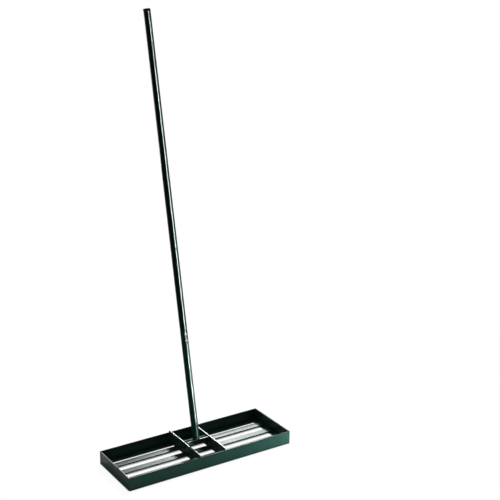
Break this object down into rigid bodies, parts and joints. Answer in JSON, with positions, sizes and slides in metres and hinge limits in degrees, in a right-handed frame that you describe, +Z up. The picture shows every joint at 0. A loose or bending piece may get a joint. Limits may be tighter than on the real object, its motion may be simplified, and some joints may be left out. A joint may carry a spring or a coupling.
{
  "type": "lawn leveling rake",
  "caption": "Lawn leveling rake: an open rectangular steel tray with flat slats and cross plates, on a long bolted tube handle that tilts on a yoke.",
  "frame": {"origin": "middle of the head on the ground, under the pivot axis", "axes": "+X along the head to its right end, +Y to the back, where the handle leans, +Z up"},
  "size_m": [0.762, 0.5279, 1.7816],
  "materials": {
    "green_paint": "semi-gloss dark green powder coat",
    "zinc": "bright zinc-plated steel",
    "black_steel": "black-oxide steel",
    "black_plastic": "satin black moulded plastic"
  },
  "bodies": {
    "head": {"front_wall": "green_paint", "back_wall": "green_paint", "left_end_wall": "green_paint", "right_end_wall": "green_paint", "front_slat": "green_paint", "middle_slat": "green_paint", "rear_slat": "green_paint", "left_cross_plate": "green_paint", "right_cross_plate": "green_paint", "left_pivot_bolt": "black_steel", "right_pivot_bolt": "black_steel", "left_pivot_nut": "black_steel", "right_pivot_nut": "black_steel", "left_head_washer": "black_steel", "right_head_washer": "black_steel"},
    "handle": {"left_spacer": "black_steel", "right_spacer": "black_steel", "left_nut_washer": "black_steel", "right_nut_washer": "black_steel", "yoke": "green_paint", "lower_tube": "green_paint", "middle_tube": "green_paint", "top_tube": "green_paint", "end_cap": "black_plastic", "upper_joint_bolt": "zinc", "lower_joint_bolt": "zinc", "upper_joint_nut": "zinc", "lower_joint_nut": "zinc", "upper_joint_washer": "zinc", "lower_joint_washer": "zinc"}
  },
  "joints": [
    {"name": "handle_tilt", "type": "hinge", "parent": "head", "child": "handle", "pos_m": [0, 0, 0.043], "axis": [-1, 0, 0], "range_deg": [-89, 64]}
  ]
}
